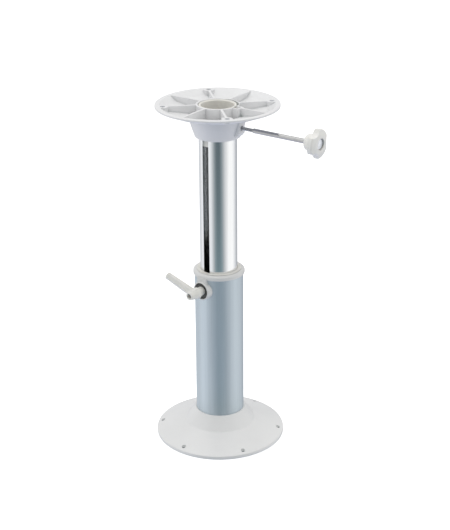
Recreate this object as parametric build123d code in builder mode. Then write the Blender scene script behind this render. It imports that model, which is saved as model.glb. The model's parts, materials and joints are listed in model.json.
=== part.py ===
from build123d import *
import os
from math import cos, radians, sin

# Telescopic swivel pedestal: a round cast base, a fixed outer tube, a slotted inner tube that
# slides up and down in it, and a ribbed cast head that turns on top.  A lever clamps the
# height and a long rod with a lobed knob locks the turning.
# Millimetres.  The origin is the centre of the base on the surface that it stands on, +Z is up.

os.makedirs("parts", exist_ok=True)

# ---------------------------------------------------------------- driving dimensions

# Base casting
BASE_R = 115.0
RIM_H = 6.0
RIM_EDGE_R = 0.8
SHOULDER_R = 62.0
SHOULDER_Z = 24.7
SHOULDER_FILLET = 4.0
HUB_R = 45.0
HUB_Z = 48.2
BASE_WALL = 5.0
FOOT_WIDTH = 17.0
CAVITY_EDGE_Z = 7.5
CAVITY_HUB_R = 47.7
CAVITY_TOP_Z = 30.0
FLOOR_UNDER_Z = 3.0
FLOOR_TOP_Z = 8.0
FLOOR_HOLE_R = 18.0
UNDER_RIB_T = 4.0
UNDER_RIB_Z = 1.0
BOLT_COUNT = 6
BOLT_CIRCLE_R = 106.0
BOLT_HOLE_R = 2.75
BOLT_START = -8.0
SPOT_FACE_R = 3.9
SPOT_FACE_Z = 8.2
COUNTERSINK_R = 3.6
COUNTERSINK_DEPTH = 1.6

# Tube anchor, the disc that holds the outer tube down to the base
ANCHOR_T = 7.0
ANCHOR_SCREW_COUNT = 3
ANCHOR_SCREW_CIRCLE_R = 28.0
ANCHOR_SCREW_R = 3.0
ANCHOR_HEAD_R = 6.0
ANCHOR_SOCKET_R = 2.0
ANCHOR_SOCKET_DEPTH = 2.5

# Outer and inner tube
TUBE_R = 42.5
TUBE_BORE_R = 39.0
TUBE_TOP = 314.0
COLUMN_R = 32.5
COLUMN_BORE_R = 29.5
COLUMN_BOTTOM = 225.0
COLUMN_TOP = 602.0
SLOT_WIDTH = 12.8
SLOT_BOTTOM = 250.0
RUNNING_GAP = 0.1

# Collar on the outer tube, with its liner and its clamp boss
COLLAR_R = 45.0
COLLAR_SKIRT_Z = 310.5
COLLAR_TOP = 319.0
COLLAR_EDGE_DROP = 1.6
COLLAR_SLEEVE_BORE_R = 36.5
COLLAR_SLEEVE_Z = 268.0
LINER_FLANGE_R = 38.8
LINER_TOP = 320.2
LINER_BOTTOM = 264.0
LINER_LEAD = 1.0
COLLAR_SCREW_Z = 290.0
COLLAR_SCREW_R = 2.5
COLLAR_SCREW_HEAD_R = 4.6
COLLAR_SCREW_SUNK = 0.3
COLLAR_SCREW_ANGLES = (19.0, 79.0)
CROSS_SLOT_L = 4.4
CROSS_SLOT_W = 0.9
CROSS_SLOT_DEPTH = 1.5

# Height clamp.  Distances s are measured outward from the tube's centreline.
CLAMP_AZIMUTH = -131.0
CLAMP_Z = 289.5
TONGUE_HALF_W = 10.0
TONGUE_S = 46.0
TONGUE_LAP = 3.0
BOSS_ROOT_R = 18.4
BOSS_ROOT_S = 37.0
BOSS_FOOT_R = 17.2
BOSS_FACE_R = 16.4
BOSS_FACE_S = 48.5
RECESS_R = 14.6
RECESS_S = 44.0
STUD_R = 4.0
STUD_INNER_S = 17.0
STUD_OUTER_S = 68.0
STUD_TAP_DEPTH = 9.0
STUD_CLEARANCE = 1.5
BOSS_BORE_GAP = 0.6
WASHER_R = 14.2
WASHER_T = 1.6
WASHER_GAP = 0.3
LEVER_SEAT_GAP = 0.2
LEVER_NECK_R = 8.0
LEVER_RIM_R = 10.0
LEVER_RIM_S = 57.0
LEVER_RIM_W = 2.4
LEVER_END_R = 6.8
LEVER_END_S = 79.0
LEVER_POCKET_R = 4.5
LEVER_POCKET_S = 70.5
ARM_S = 64.7
ARM_RISE = 24.5
ARM_LEAN = 10.0
ARM_START = 2.0
ARM_LENGTH = 60.0
ARM_ROOT_R = 8.0
ARM_TIP_R = 6.7
LEVER_SCREW_R = 2.0
LEVER_SCREW_HEAD_R = 3.7
LEVER_SCREW_HEAD_T = 3.2
LEVER_SOCKET_R = 1.7
SHOE_R = 29.05
SHOE_INNER_S = 20.5
SHOE_W = 26.0
SHOE_H = 36.0
KEY_W = 12.2
KEY_H = 24.0
KEY_INNER_S = 22.5
KEY_OUTER_S = 31.2

# Guide ring on the foot of the inner tube
GUIDE_BOTTOM = 221.0
GUIDE_TOP = 240.0
GUIDE_EDGE = 1.0
GUIDE_SCREW_COUNT = 3
GUIDE_SCREW_START = 49.0
GUIDE_SCREW_Z = 232.0
GUIDE_SCREW_R = 2.0
GUIDE_SEAT_S = 35.1
GUIDE_SEAT_R = 3.8
GUIDE_HEAD_R = 3.6
GUIDE_HEAD_T = 2.4
GUIDE_SOCKET_R = 1.6

# Head casting.  Dish points are (radius, depth below the head's top).
HEAD_TOP = 613.0
PLATE_R = 105.0
PLATE_EDGE_T = 3.4
DISH_R = 97.0
DISH_POINTS = ((84.0, 8.2), (66.0, 11.0), (50.0, 13.5))
UNDERSIDE_POINTS = ((98.0, 3.6), (84.0, 11.6), (66.0, 14.4), (50.5, 17.0))
RIB_ROOT_POINTS = ((98.0, 1.5), (84.0, 10.0), (66.0, 12.7), (51.0, 15.0))
HEAD_BORE_R = 34.5
MOUTH_R = 32.9
MOUTH_EDGE = 0.8
MOUTH_LEDGE_Z = 607.3
MOUTH_RELIEF_SHIFT = 2.6
MOUTH_RELIEF_AZIMUTH = -18.0
HUB_RING_R = 36.6
BELL_WAIST_R = 46.4
BELL_WAIST_Z = 580.4
BELL_FOOT_R = 38.9
BELL_BOTTOM = 558.0
BELL_FLOOR_Z = 576.0
BELL_FLOOR_R = 41.0
BELL_INSIDE_R = 45.2
BELL_INSIDE_Z = 592.0
RIB_COUNT = 8
RIB_T = 4.0
RIB_START = 9.5
HEAD_BOLT_COUNT = 4
HEAD_BOLT_CIRCLE_R = 92.0
HEAD_BOLT_R = 4.5
HEAD_BOSS_R = 9.5
HEAD_BOSS_H = 9.5
BOSS_TRIM_GAP = 0.3
BOSS_TRIM_R = 78.0
BOSS_TRIM_DROP = 13.1
CLIP_Z = 560.0
CLIP_T = 1.4
CLIP_GROOVE_R = 35.8
CLIP_BORE_R = 33.2
CLIP_GAP_W = 12.0

# Swivel bush, a nylon cap over the top end of the inner tube
BUSH_BORE_R = 28.0
BUSH_MOUTH_CHAMFER = 1.6
BUSH_LIP_CHAMFER = 0.6
BUSH_INNER_BOTTOM = 545.0
BUSH_OUTER_BOTTOM = 562.6
BUSH_WEB_TOP = 607.0
BUSH_LIP_R = 31.9
BUSH_TOP = 612.0

# Swivel lock.  Distances s are measured outward from the column's centreline.
LOCK_AZIMUTH = -37.0
LOCK_Z = 579.0
LUG_S = 50.0
LUG_W = 16.0
LUG_TOP = 599.0
LUG_BOTTOM = 564.5
LUG_SLOPE_W = 5.0
LUG_SLOPE_H = 6.0
LUG_BORE_R = 3.9
PAD_R = 4.0
PAD_T = 3.0
PAD_GAP = 0.1
POCKET_S = 39.6
POCKET_T = 5.6
POCKET_GAP = 0.3
POCKET_WALL = 3.0
POCKET_WALL_H = 16.0
POCKET_NOTCH_H = 4.5
NUT_W = 10.0
NUT_T = 5.0
NUT_BOTTOM = 574.0
NUT_TOP = 602.0
THREAD_R = 3.0
THREAD_PITCH = 1.0
THREAD_DEPTH = 0.35
ROD_TIP_S = 37.8
ROD_TIP_R = 2.1
THREAD_END_S = 73.5
ROD_R = 4.0
ROD_END_S = 193.0
KNOB_START_S = 178.5
KNOB_NOSE_R = 12.2
KNOB_NECK_R = 13.5
KNOB_NECK_END_R = 14.6
KNOB_GRIP_S = 192.0
KNOB_R = 24.5
KNOB_EDGE_S = 201.2
KNOB_DOME_R = 15.0
KNOB_FACE_S = 204.5
LOBE_COUNT = 3
LOBE_START = -2.0
SCALLOP_R = 16.0
SCALLOP_CENTRE = 33.5
INSERT_START_S = 182.5
INSERT_END_S = 195.0
INSERT_R = 6.2
CAP_R = 8.3
CAP_POCKET_R = 9.7
CAP_POCKET_S = 200.4
CAP_EDGE_S = 202.4
CAP_TOP_S = 203.9
CAP_STEM_R = 3.0
CAP_STEM_S = 196.0

# Distance that a cutting sketch runs past the material it cuts
OVERCUT = 5.0

CLAMP_AXIS = Axis(
    (0, 0, CLAMP_Z),
    (cos(radians(CLAMP_AZIMUTH)), sin(radians(CLAMP_AZIMUTH)), 0),
)
LOCK_AXIS = Axis(
    (0, 0, LOCK_Z),
    (cos(radians(LOCK_AZIMUTH)), sin(radians(LOCK_AZIMUTH)), 0),
)


def section_plane(azimuth, height=0.0):
    """Upright plane through the centreline: local x runs outward at azimuth, local y runs up."""
    angle = radians(azimuth)
    outward = (cos(angle), sin(angle), 0)
    return Plane(origin=(0, 0, height), x_dir=outward, z_dir=(sin(angle), -cos(angle), 0))


def facing_plane(azimuth, height, distance=0.0):
    """Upright plane that faces outward at azimuth, distance away from the centreline."""
    angle = radians(azimuth)
    outward = (cos(angle), sin(angle), 0)
    plane = Plane(origin=(0, 0, height), x_dir=(-sin(angle), cos(angle), 0), z_dir=outward)
    return plane.offset(distance)


# ---------------------------------------------------------------- base

# Base plate: a shallow cone that rises to a steep hub, hollow and ribbed underneath.
foot_inner_r = BASE_R - FOOT_WIDTH
cavity_shoulder_r = SHOULDER_R - 3
cavity_shoulder_z = SHOULDER_Z - BASE_WALL
with BuildPart() as base_plate:
    with BuildSketch(Plane.XZ):
        with BuildLine():
            FilletPolyline(
                (foot_inner_r, 0),
                (BASE_R, 0),
                (BASE_R, RIM_H),
                (SHOULDER_R, SHOULDER_Z),
                (HUB_R, HUB_Z),
                (TUBE_R, HUB_Z),
                (TUBE_R, FLOOR_TOP_Z),
                (FLOOR_HOLE_R, FLOOR_TOP_Z),
                (FLOOR_HOLE_R, FLOOR_UNDER_Z),
                (CAVITY_HUB_R, FLOOR_UNDER_Z),
                (CAVITY_HUB_R, CAVITY_TOP_Z),
                (cavity_shoulder_r, cavity_shoulder_z),
                (foot_inner_r, CAVITY_EDGE_Z),
                radius=[0, RIM_EDGE_R, 1.2, SHOULDER_FILLET, 1, 0, 0, 0, 0, 1, 2, 3, 1],
                close=True,
            )
        make_face()
    revolve(axis=Axis.Z)
    for index in range(BOLT_COUNT):
        rib_angle = BOLT_START + (index + 0.5) * 360 / BOLT_COUNT
        with BuildSketch(section_plane(rib_angle)):
            with BuildLine():
                Polyline(
                    (CAVITY_HUB_R - 1, UNDER_RIB_Z),
                    (foot_inner_r + 1, UNDER_RIB_Z),
                    (foot_inner_r + 1, CAVITY_EDGE_Z + 0.5),
                    (cavity_shoulder_r, cavity_shoulder_z + 1),
                    (CAVITY_HUB_R - 1, CAVITY_TOP_Z + 1),
                    close=True,
                )
            make_face()
        extrude(amount=UNDER_RIB_T / 2, both=True)
    with PolarLocations(BOLT_CIRCLE_R, BOLT_COUNT, start_angle=BOLT_START):
        Cylinder(BOLT_HOLE_R, 4 * SPOT_FACE_Z, mode=Mode.SUBTRACT)
        with Locations((0, 0, SPOT_FACE_Z)):
            Cylinder(
                SPOT_FACE_R,
                OVERCUT,
                align=(Align.CENTER, Align.CENTER, Align.MIN),
                mode=Mode.SUBTRACT,
            )
        with Locations((0, 0, SPOT_FACE_Z - COUNTERSINK_DEPTH)):
            Cone(
                BOLT_HOLE_R,
                COUNTERSINK_R,
                COUNTERSINK_DEPTH,
                align=(Align.CENTER, Align.CENTER, Align.MIN),
                mode=Mode.SUBTRACT,
            )
    with PolarLocations(ANCHOR_SCREW_CIRCLE_R, ANCHOR_SCREW_COUNT):
        Cylinder(ANCHOR_SCREW_R, 4 * FLOOR_TOP_Z, mode=Mode.SUBTRACT)
        with Locations((0, 0, FLOOR_UNDER_Z)):
            Cone(
                ANCHOR_HEAD_R,
                ANCHOR_SCREW_R,
                ANCHOR_HEAD_R - ANCHOR_SCREW_R,
                align=(Align.CENTER, Align.CENTER, Align.MIN),
                mode=Mode.SUBTRACT,
            )
base_plate.part.label = "base_plate"
export_step(base_plate.part, "parts/base_plate.step")

# Tube anchor: a disc fixed inside the foot of the outer tube, tapped for three screws.
with BuildPart() as tube_anchor:
    with BuildSketch(Plane.XY.offset(FLOOR_TOP_Z)):
        Circle(TUBE_BORE_R)
        Circle(FLOOR_HOLE_R, mode=Mode.SUBTRACT)
        with PolarLocations(ANCHOR_SCREW_CIRCLE_R, ANCHOR_SCREW_COUNT):
            Circle(ANCHOR_SCREW_R, mode=Mode.SUBTRACT)
    extrude(amount=ANCHOR_T)
tube_anchor.part.label = "tube_anchor"
export_step(tube_anchor.part, "parts/tube_anchor.step")

# Anchor screws: countersunk socket screws driven up through the base's floor.
with BuildPart() as anchor_screws:
    with PolarLocations(ANCHOR_SCREW_CIRCLE_R, ANCHOR_SCREW_COUNT):
        with Locations((0, 0, FLOOR_UNDER_Z)):
            Cone(
                ANCHOR_HEAD_R,
                ANCHOR_SCREW_R,
                ANCHOR_HEAD_R - ANCHOR_SCREW_R,
                align=(Align.CENTER, Align.CENTER, Align.MIN),
            )
            Cylinder(
                ANCHOR_SCREW_R,
                FLOOR_TOP_Z + ANCHOR_T - FLOOR_UNDER_Z,
                align=(Align.CENTER, Align.CENTER, Align.MIN),
            )
    with BuildSketch(Plane.XY.offset(FLOOR_UNDER_Z)):
        with PolarLocations(ANCHOR_SCREW_CIRCLE_R, ANCHOR_SCREW_COUNT):
            RegularPolygon(ANCHOR_SOCKET_R, 6)
    extrude(amount=ANCHOR_SOCKET_DEPTH, mode=Mode.SUBTRACT)
anchor_screws.part.label = "anchor_screws"
export_step(anchor_screws.part, "parts/anchor_screws.step")

# Outer tube: fixed in the base, with a hole for the clamp stud and two for the collar screws.
screw_cone_s = TUBE_R - COLLAR_SCREW_HEAD_R + COLLAR_SCREW_R
with BuildPart() as outer_tube:
    with BuildSketch(Plane.XY.offset(FLOOR_TOP_Z)):
        Circle(TUBE_R)
        Circle(TUBE_BORE_R, mode=Mode.SUBTRACT)
    extrude(amount=TUBE_TOP - FLOOR_TOP_Z)
    with BuildSketch(facing_plane(CLAMP_AZIMUTH, CLAMP_Z)):
        Circle(STUD_R + STUD_CLEARANCE)
    extrude(amount=TUBE_R + OVERCUT, mode=Mode.SUBTRACT)
    for angle in COLLAR_SCREW_ANGLES:
        with BuildSketch(section_plane(angle, COLLAR_SCREW_Z)):
            with BuildLine():
                Polyline(
                    (TUBE_BORE_R - OVERCUT, 0),
                    (TUBE_BORE_R - OVERCUT, COLLAR_SCREW_R),
                    (screw_cone_s, COLLAR_SCREW_R),
                    (TUBE_R, COLLAR_SCREW_HEAD_R),
                    (TUBE_R + OVERCUT, COLLAR_SCREW_HEAD_R),
                    (TUBE_R + OVERCUT, 0),
                    close=True,
                )
            make_face()
        revolve(
            axis=Axis((0, 0, COLLAR_SCREW_Z), (cos(radians(angle)), sin(radians(angle)), 0)),
            mode=Mode.SUBTRACT,
        )
outer_tube.part.label = "outer_tube"
export_step(outer_tube.part, "parts/outer_tube.step")

# ---------------------------------------------------------------- collar and its liner

# Collar: a lipped ring that caps the outer tube, with a sleeve inside the tube and, on the
# clamp side, a tongue that runs down the outside to a round boss with a recessed face.
with BuildPart() as collar:
    with BuildSketch(facing_plane(CLAMP_AZIMUTH, CLAMP_Z)):
        Rectangle(
            2 * TONGUE_HALF_W,
            COLLAR_SKIRT_Z - CLAMP_Z + TONGUE_LAP,
            align=(Align.CENTER, Align.MIN),
        )
    extrude(amount=TONGUE_S)
    with BuildSketch(section_plane(CLAMP_AZIMUTH, CLAMP_Z)):
        with BuildLine():
            FilletPolyline(
                (BOSS_ROOT_S, 0),
                (BOSS_ROOT_S, BOSS_ROOT_R),
                (TUBE_R, BOSS_FOOT_R),
                (BOSS_FACE_S, BOSS_FACE_R),
                (BOSS_FACE_S, 0),
                radius=[0, 0, 3, 1.2, 0],
                close=True,
            )
        make_face()
    revolve(axis=CLAMP_AXIS)
    with Locations((0, 0, COLLAR_SLEEVE_Z - BOSS_ROOT_R)):
        Cylinder(
            TUBE_R,
            TUBE_TOP - COLLAR_SLEEVE_Z + BOSS_ROOT_R,
            align=(Align.CENTER, Align.CENTER, Align.MIN),
            mode=Mode.SUBTRACT,
        )
    with BuildSketch(Plane.XZ):
        with BuildLine():
            FilletPolyline(
                (COLLAR_SLEEVE_BORE_R, COLLAR_SLEEVE_Z),
                (TUBE_BORE_R, COLLAR_SLEEVE_Z),
                (TUBE_BORE_R, TUBE_TOP),
                (TUBE_R, TUBE_TOP),
                (TUBE_R, COLLAR_SKIRT_Z),
                (COLLAR_R, COLLAR_SKIRT_Z),
                (COLLAR_R, COLLAR_TOP - COLLAR_EDGE_DROP),
                (COLLAR_SLEEVE_BORE_R, COLLAR_TOP),
                radius=[0, 0, 0, 0, 0, 0.9, 2.6, 0],
                close=True,
            )
        make_face()
    revolve(axis=Axis.Z)
    with BuildSketch(section_plane(CLAMP_AZIMUTH, CLAMP_Z)):
        with BuildLine():
            Polyline(
                (STUD_INNER_S, 0),
                (STUD_INNER_S, STUD_R + STUD_CLEARANCE),
                (TUBE_R, STUD_R + STUD_CLEARANCE),
                (TUBE_R, STUD_R + BOSS_BORE_GAP),
                (RECESS_S, STUD_R + BOSS_BORE_GAP),
                (RECESS_S, RECESS_R),
                (BOSS_FACE_S + OVERCUT, RECESS_R),
                (BOSS_FACE_S + OVERCUT, 0),
                close=True,
            )
        make_face()
    revolve(axis=CLAMP_AXIS, mode=Mode.SUBTRACT)
    for angle in COLLAR_SCREW_ANGLES:
        with BuildSketch(facing_plane(angle, COLLAR_SCREW_Z, COLLAR_SLEEVE_BORE_R - OVERCUT)):
            Circle(COLLAR_SCREW_R)
        extrude(amount=TUBE_BORE_R - COLLAR_SLEEVE_BORE_R + OVERCUT, mode=Mode.SUBTRACT)
collar.part.label = "collar"
export_step(collar.part, "parts/collar.step")

# Collar screws: countersunk, through the tube's wall into the collar's sleeve.
with BuildPart() as collar_screws:
    for angle in COLLAR_SCREW_ANGLES:
        screw_axis = Axis((0, 0, COLLAR_SCREW_Z), (cos(radians(angle)), sin(radians(angle)), 0))
        with BuildSketch(section_plane(angle, COLLAR_SCREW_Z)):
            with BuildLine():
                Polyline(
                    (COLLAR_SLEEVE_BORE_R + COLLAR_SCREW_SUNK, 0),
                    (COLLAR_SLEEVE_BORE_R + COLLAR_SCREW_SUNK, COLLAR_SCREW_R),
                    (screw_cone_s, COLLAR_SCREW_R),
                    (TUBE_R - COLLAR_SCREW_SUNK, COLLAR_SCREW_HEAD_R - COLLAR_SCREW_SUNK),
                    (TUBE_R - COLLAR_SCREW_SUNK, 0),
                    close=True,
                )
            make_face()
        revolve(axis=screw_axis)
        slot_floor_s = TUBE_R - COLLAR_SCREW_SUNK - CROSS_SLOT_DEPTH
        with BuildSketch(facing_plane(angle, COLLAR_SCREW_Z, slot_floor_s)):
            Rectangle(CROSS_SLOT_L, CROSS_SLOT_W)
            Rectangle(CROSS_SLOT_W, CROSS_SLOT_L)
        extrude(amount=OVERCUT, mode=Mode.SUBTRACT)
collar_screws.part.label = "collar_screws"
export_step(collar_screws.part, "parts/collar_screws.step")

# Collar liner: the nylon sleeve that the inner tube slides in, with a thin top flange.
liner_bore_r = COLUMN_R + RUNNING_GAP
with BuildPart() as collar_liner:
    with BuildSketch(Plane.XZ):
        with BuildLine():
            Polyline(
                (liner_bore_r, LINER_BOTTOM + LINER_LEAD),
                (liner_bore_r + LINER_LEAD, LINER_BOTTOM),
                (COLLAR_SLEEVE_BORE_R, LINER_BOTTOM),
                (COLLAR_SLEEVE_BORE_R, COLLAR_TOP),
                (LINER_FLANGE_R, COLLAR_TOP),
                (LINER_FLANGE_R, LINER_TOP - 0.4),
                (LINER_FLANGE_R - 0.4, LINER_TOP),
                (liner_bore_r + 0.6, LINER_TOP),
                (liner_bore_r, LINER_TOP - 0.6),
                close=True,
            )
        make_face()
    revolve(axis=Axis.Z)
    with BuildSketch(facing_plane(CLAMP_AZIMUTH, CLAMP_Z)):
        Circle(STUD_R + STUD_CLEARANCE)
    extrude(amount=TUBE_R, mode=Mode.SUBTRACT)
collar_liner.part.label = "collar_liner"
export_step(collar_liner.part, "parts/collar_liner.step")

# ---------------------------------------------------------------- height clamp

# Clamp washer on the floor of the boss's recess.
with BuildPart() as clamp_washer:
    with BuildSketch(facing_plane(CLAMP_AZIMUTH, CLAMP_Z, RECESS_S)):
        Circle(WASHER_R)
        Circle(STUD_R + WASHER_GAP, mode=Mode.SUBTRACT)
    extrude(amount=WASHER_T)
clamp_washer.part.label = "clamp_washer"
export_step(clamp_washer.part, "parts/clamp_washer.step")

# Clamp lever: a flared hub on the stud and a faceted arm that leans a little outward.
lever_seat_s = RECESS_S + WASHER_T + LEVER_SEAT_GAP
clamp_out = Vector(CLAMP_AXIS.direction)
clamp_side = Vector(sin(radians(CLAMP_AZIMUTH)), -cos(radians(CLAMP_AZIMUTH)), 0)
arm_level = clamp_side * cos(radians(ARM_RISE)) + Vector(0, 0, sin(radians(ARM_RISE)))
arm_direction = clamp_out * sin(radians(ARM_LEAN)) + arm_level * cos(radians(ARM_LEAN))
arm_plane = Plane(
    origin=clamp_out * ARM_S + Vector(0, 0, CLAMP_Z),
    x_dir=clamp_out * cos(radians(ARM_LEAN)) - arm_level * sin(radians(ARM_LEAN)),
    z_dir=arm_direction,
)
with BuildPart() as clamp_lever:
    with BuildSketch(arm_plane.offset(ARM_START)):
        RegularPolygon(ARM_ROOT_R, 6)
        fillet(vertices(), 2)
    with BuildSketch(arm_plane.offset(ARM_LENGTH)):
        RegularPolygon(ARM_TIP_R, 6)
        fillet(vertices(), 1.8)
    loft()
    fillet(faces().sort_by(Axis(arm_plane.origin, arm_direction))[-1].edges(), 1.6)
    with BuildSketch(section_plane(CLAMP_AZIMUTH, CLAMP_Z)):
        with BuildLine():
            FilletPolyline(
                (lever_seat_s, 0),
                (lever_seat_s, LEVER_NECK_R),
                (LEVER_RIM_S - 1, LEVER_NECK_R),
                (LEVER_RIM_S, LEVER_RIM_R),
                (LEVER_RIM_S + LEVER_RIM_W, LEVER_RIM_R),
                (LEVER_END_S, LEVER_END_R),
                (LEVER_END_S, 0),
                radius=[0, 0.6, 0.5, 0.5, 2, 0.8, 0],
                close=True,
            )
        make_face()
    revolve(axis=CLAMP_AXIS)
    with BuildSketch(section_plane(CLAMP_AZIMUTH, CLAMP_Z)):
        with BuildLine():
            Polyline(
                (lever_seat_s - OVERCUT, 0),
                (lever_seat_s - OVERCUT, STUD_R),
                (STUD_OUTER_S, STUD_R),
                (STUD_OUTER_S, LEVER_SCREW_R),
                (LEVER_POCKET_S, LEVER_SCREW_R),
                (LEVER_POCKET_S, LEVER_POCKET_R),
                (LEVER_END_S + OVERCUT, LEVER_POCKET_R),
                (LEVER_END_S + OVERCUT, 0),
                close=True,
            )
        make_face()
    revolve(axis=CLAMP_AXIS, mode=Mode.SUBTRACT)
clamp_lever.part.label = "clamp_lever"
export_step(clamp_lever.part, "parts/clamp_lever.step")

# Clamp stud: turns with the lever and screws into the clamp shoe inside the inner tube.
with BuildPart() as clamp_stud:
    with BuildSketch(section_plane(CLAMP_AZIMUTH, CLAMP_Z)):
        with BuildLine():
            Polyline(
                (STUD_INNER_S, 0),
                (STUD_INNER_S, STUD_R - 1),
                (STUD_INNER_S + 1, STUD_R),
                (STUD_OUTER_S, STUD_R),
                (STUD_OUTER_S, LEVER_SCREW_R),
                (STUD_OUTER_S - STUD_TAP_DEPTH, LEVER_SCREW_R),
                (STUD_OUTER_S - STUD_TAP_DEPTH, 0),
                close=True,
            )
        make_face()
    revolve(axis=CLAMP_AXIS)
clamp_stud.part.label = "clamp_stud"
export_step(clamp_stud.part, "parts/clamp_stud.step")

# Lever screw: holds the lever on the stud, sunk in the pocket of the hub's end.
screw_tip_s = STUD_OUTER_S - STUD_TAP_DEPTH + 0.5
screw_top_s = LEVER_POCKET_S + LEVER_SCREW_HEAD_T
with BuildPart() as lever_screw:
    with BuildSketch(section_plane(CLAMP_AZIMUTH, CLAMP_Z)):
        with BuildLine():
            Polyline(
                (screw_tip_s, 0),
                (screw_tip_s, LEVER_SCREW_R),
                (LEVER_POCKET_S, LEVER_SCREW_R),
                (LEVER_POCKET_S, LEVER_SCREW_HEAD_R),
                (screw_top_s - 0.6, LEVER_SCREW_HEAD_R),
                (screw_top_s, LEVER_SCREW_HEAD_R - 0.6),
                (screw_top_s, 0),
                close=True,
            )
        make_face()
    revolve(axis=CLAMP_AXIS)
    with BuildSketch(facing_plane(CLAMP_AZIMUTH, CLAMP_Z, screw_top_s - 2)):
        RegularPolygon(LEVER_SOCKET_R, 6)
    extrude(amount=OVERCUT, mode=Mode.SUBTRACT)
lever_screw.part.label = "lever_screw"
export_step(lever_screw.part, "parts/lever_screw.step")

# Clamp shoe: a curved nut plate inside the inner tube.  Its key stands in the tube's slot,
# so that the column can't turn, and the stud draws it outward against the tube's wall.
with BuildPart() as clamp_shoe:
    with BuildSketch(facing_plane(CLAMP_AZIMUTH, CLAMP_Z, SHOE_INNER_S)):
        Rectangle(SHOE_W, SHOE_H)
        fillet(vertices(), 3)
    extrude(amount=SHOE_R - SHOE_INNER_S)
    with BuildSketch(Plane.XY.offset(CLAMP_Z - SHOE_H)):
        Circle(SHOE_R)
    extrude(amount=2 * SHOE_H, mode=Mode.INTERSECT)
    with BuildSketch(facing_plane(CLAMP_AZIMUTH, CLAMP_Z, KEY_INNER_S)):
        Rectangle(KEY_W, KEY_H)
        fillet(vertices(), 2)
    extrude(amount=KEY_OUTER_S - KEY_INNER_S)
    with BuildSketch(facing_plane(CLAMP_AZIMUTH, CLAMP_Z)):
        Circle(STUD_R + RUNNING_GAP / 2)
    extrude(amount=TUBE_R, mode=Mode.SUBTRACT)
clamp_shoe.part.label = "clamp_shoe"
export_step(clamp_shoe.part, "parts/clamp_shoe.step")

# ---------------------------------------------------------------- sliding column

# Inner tube: a long slot, open at the top and closed at the foot, keeps it from turning.
with BuildPart() as inner_tube:
    with BuildSketch(Plane.XY.offset(COLUMN_BOTTOM)):
        Circle(COLUMN_R)
        Circle(COLUMN_BORE_R, mode=Mode.SUBTRACT)
    extrude(amount=COLUMN_TOP - COLUMN_BOTTOM)
    with BuildSketch(facing_plane(CLAMP_AZIMUTH, SLOT_BOTTOM)):
        with Locations((0, SLOT_WIDTH / 2)):
            Circle(SLOT_WIDTH / 2)
            Rectangle(SLOT_WIDTH, COLUMN_TOP, align=(Align.CENTER, Align.MIN))
    extrude(amount=COLUMN_R + OVERCUT, mode=Mode.SUBTRACT)
    for index in range(GUIDE_SCREW_COUNT):
        guide_angle = GUIDE_SCREW_START + index * 360 / GUIDE_SCREW_COUNT
        with BuildSketch(facing_plane(guide_angle, GUIDE_SCREW_Z)):
            Circle(GUIDE_SCREW_R)
        extrude(amount=COLUMN_R + OVERCUT, mode=Mode.SUBTRACT)
inner_tube.part.label = "inner_tube"
export_step(inner_tube.part, "parts/inner_tube.step")

# Lower guide: the nylon ring on the inner tube's foot that slides in the outer tube.
guide_r = TUBE_BORE_R - RUNNING_GAP
with BuildPart() as lower_guide:
    with BuildSketch(Plane.XZ):
        with BuildLine():
            Polyline(
                (COLUMN_BORE_R, GUIDE_BOTTOM),
                (guide_r - GUIDE_EDGE, GUIDE_BOTTOM),
                (guide_r, GUIDE_BOTTOM + GUIDE_EDGE),
                (guide_r, GUIDE_TOP - GUIDE_EDGE),
                (guide_r - GUIDE_EDGE, GUIDE_TOP),
                (COLUMN_R, GUIDE_TOP),
                (COLUMN_R, COLUMN_BOTTOM),
                (COLUMN_BORE_R, COLUMN_BOTTOM),
                close=True,
            )
        make_face()
    revolve(axis=Axis.Z)
    for index in range(GUIDE_SCREW_COUNT):
        guide_angle = GUIDE_SCREW_START + index * 360 / GUIDE_SCREW_COUNT
        with BuildSketch(facing_plane(guide_angle, GUIDE_SCREW_Z)):
            Circle(GUIDE_SCREW_R)
        extrude(amount=TUBE_R, mode=Mode.SUBTRACT)
        with BuildSketch(facing_plane(guide_angle, GUIDE_SCREW_Z, GUIDE_SEAT_S)):
            Circle(GUIDE_SEAT_R)
        extrude(amount=TUBE_R - GUIDE_SEAT_S, mode=Mode.SUBTRACT)
lower_guide.part.label = "lower_guide"
export_step(lower_guide.part, "parts/lower_guide.step")

# Guide screws: three small screws that hold the guide ring on the tube.
guide_screw_tip_s = COLUMN_BORE_R - 0.5
with BuildPart() as guide_screws:
    for index in range(GUIDE_SCREW_COUNT):
        guide_angle = GUIDE_SCREW_START + index * 360 / GUIDE_SCREW_COUNT
        with BuildSketch(facing_plane(guide_angle, GUIDE_SCREW_Z, guide_screw_tip_s)):
            Circle(GUIDE_SCREW_R)
        extrude(amount=GUIDE_SEAT_S - guide_screw_tip_s)
        with BuildSketch(facing_plane(guide_angle, GUIDE_SCREW_Z, GUIDE_SEAT_S)):
            Circle(GUIDE_HEAD_R)
        extrude(amount=GUIDE_HEAD_T)
        with BuildSketch(facing_plane(guide_angle, GUIDE_SCREW_Z, GUIDE_SEAT_S + 1)):
            RegularPolygon(GUIDE_SOCKET_R, 6)
        extrude(amount=OVERCUT, mode=Mode.SUBTRACT)
guide_screws.part.label = "guide_screws"
export_step(guide_screws.part, "parts/guide_screws.step")

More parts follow.
